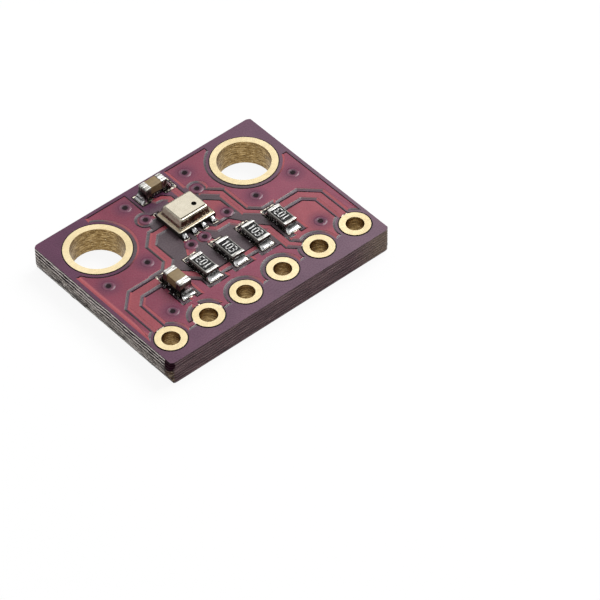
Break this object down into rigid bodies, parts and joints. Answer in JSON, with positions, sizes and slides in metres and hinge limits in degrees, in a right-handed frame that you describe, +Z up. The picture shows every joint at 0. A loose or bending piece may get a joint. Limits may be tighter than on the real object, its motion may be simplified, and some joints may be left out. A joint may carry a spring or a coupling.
{
  "type": "barometric pressure sensor module",
  "caption": "Small purple circuit board with a metal-lidded air pressure sensor, chip resistors and capacitors, gold-ringed mounting holes and a row of plated header holes.",
  "frame": {"origin": "middle of the board's underside", "axes": "+Z up out of the face that carries the pieces, +X along the row of header holes, header row on the -Y side"},
  "size_m": [0.0152, 0.0116, 0.0025],
  "materials": {
    "laminate": "woven glass fibre and resin, cut edge",
    "solder_mask": "satin purple lacquer",
    "gold_plating": "satin gold plating",
    "copper": "plated copper under lacquer",
    "white_ceramic": "matt",
    "black_glass": "glossy black coat",
    "tinned_terminal": "dull tin",
    "solder": "bright solder",
    "brown_ceramic": "matt",
    "black_laminate": "dark resin laminate",
    "nickel_sheet": "satin nickel",
    "silicon": "polished"
  },
  "bodies": {
    "root": {"board_laminate": "laminate", "top_solder_mask": "solder_mask", "bottom_solder_mask": "solder_mask", "mounting_ring_left": "gold_plating", "mounting_ring_right": "gold_plating", "header_pad_1": "gold_plating", "header_pad_2": "gold_plating", "header_pad_3": "gold_plating", "header_pad_4": "gold_plating", "header_pad_5": "gold_plating", "header_pad_6": "gold_plating", "sensor_contacts": "gold_plating", "sensor_bond_wires": "gold_plating", "via_barrels": "copper", "ground_copper_top": "copper", "supply_copper_top": "copper", "select_copper_top": "copper", "address_copper_top": "copper", "clock_copper_top": "copper", "data_copper_top": "copper", "ground_copper_bottom": "copper", "clock_copper_bottom": "copper", "data_copper_bottom": "copper", "address_copper_bottom": "copper", "resistor_1_ceramic": "white_ceramic", "resistor_1_overcoat": "black_glass", "resistor_1_terminals": "tinned_terminal", "resistor_1_solder": "solder", "resistor_2_ceramic": "white_ceramic", "resistor_2_overcoat": "black_glass", "resistor_2_terminals": "tinned_terminal", "resistor_2_solder": "solder", "resistor_3_ceramic": "white_ceramic", "resistor_3_overcoat": "black_glass", "resistor_3_terminals": "tinned_terminal", "resistor_3_solder": "solder", "resistor_4_ceramic": "white_ceramic", "resistor_4_overcoat": "black_glass", "resistor_4_terminals": "tinned_terminal", "resistor_4_solder": "solder", "supply_capacitor_body": "brown_ceramic", "supply_capacitor_terminals": "tinned_terminal", "supply_capacitor_solder": "solder", "sensor_capacitor_body": "brown_ceramic", "sensor_capacitor_terminals": "tinned_terminal", "sensor_capacitor_solder": "solder", "sensor_solder": "solder", "sensor_substrate": "black_laminate", "sensor_lid": "nickel_sheet", "sensor_circuit_die": "silicon", "sensor_pressure_die": "silicon"}
  },
  "joints": []
}
